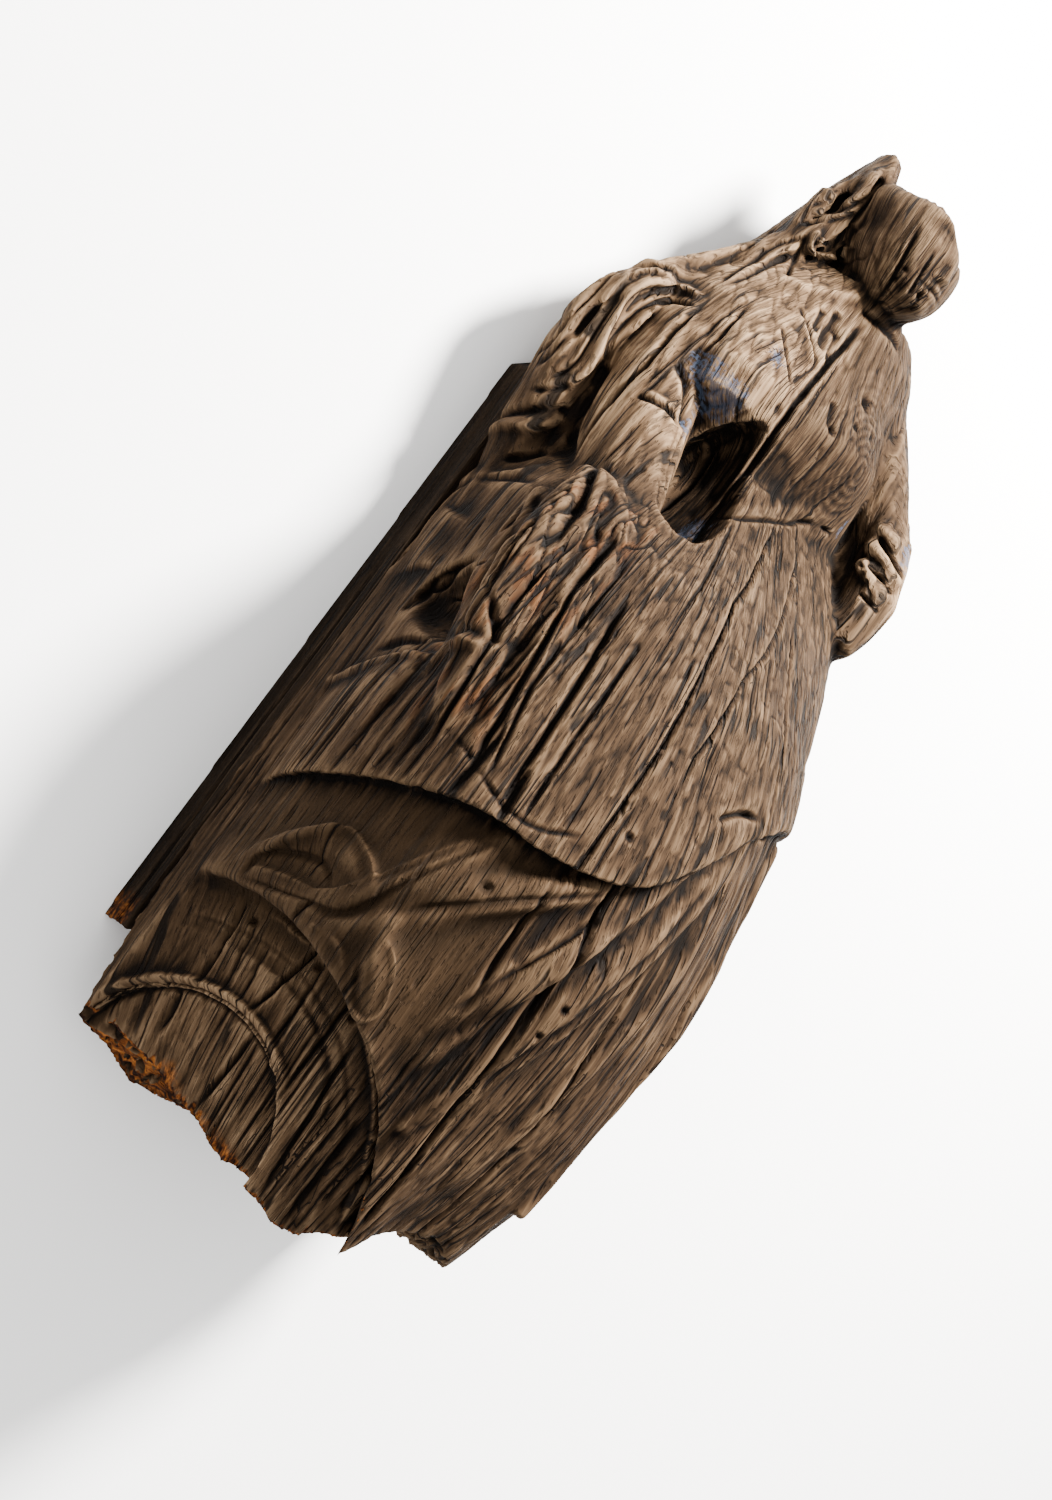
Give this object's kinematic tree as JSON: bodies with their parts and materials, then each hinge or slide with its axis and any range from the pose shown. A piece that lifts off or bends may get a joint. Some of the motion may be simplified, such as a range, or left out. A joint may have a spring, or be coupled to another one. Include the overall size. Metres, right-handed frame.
{
  "type": "ship figurehead",
  "caption": "Weathered carved-wood ship figurehead: a full-length woman with long hair and draped skirt, a scroll at the broken foot and a plank behind for the stem, lying on its back.",
  "frame": {"origin": "middle of the backing plank's flat rear face, the face that met the ship's stem", "axes": "+X to the figure's left, +Y along the timber to her head, +Z to her front"},
  "size_m": [0.6862, 1.5864, 0.4828],
  "materials": {
    "old_timber": "bare, grey-brown, deeply cracked",
    "plank_timber": "bare, dark grey-brown, cracked"
  },
  "bodies": {
    "root": {"figurehead": "old_timber", "back_plank": "plank_timber"}
  },
  "joints": []
}
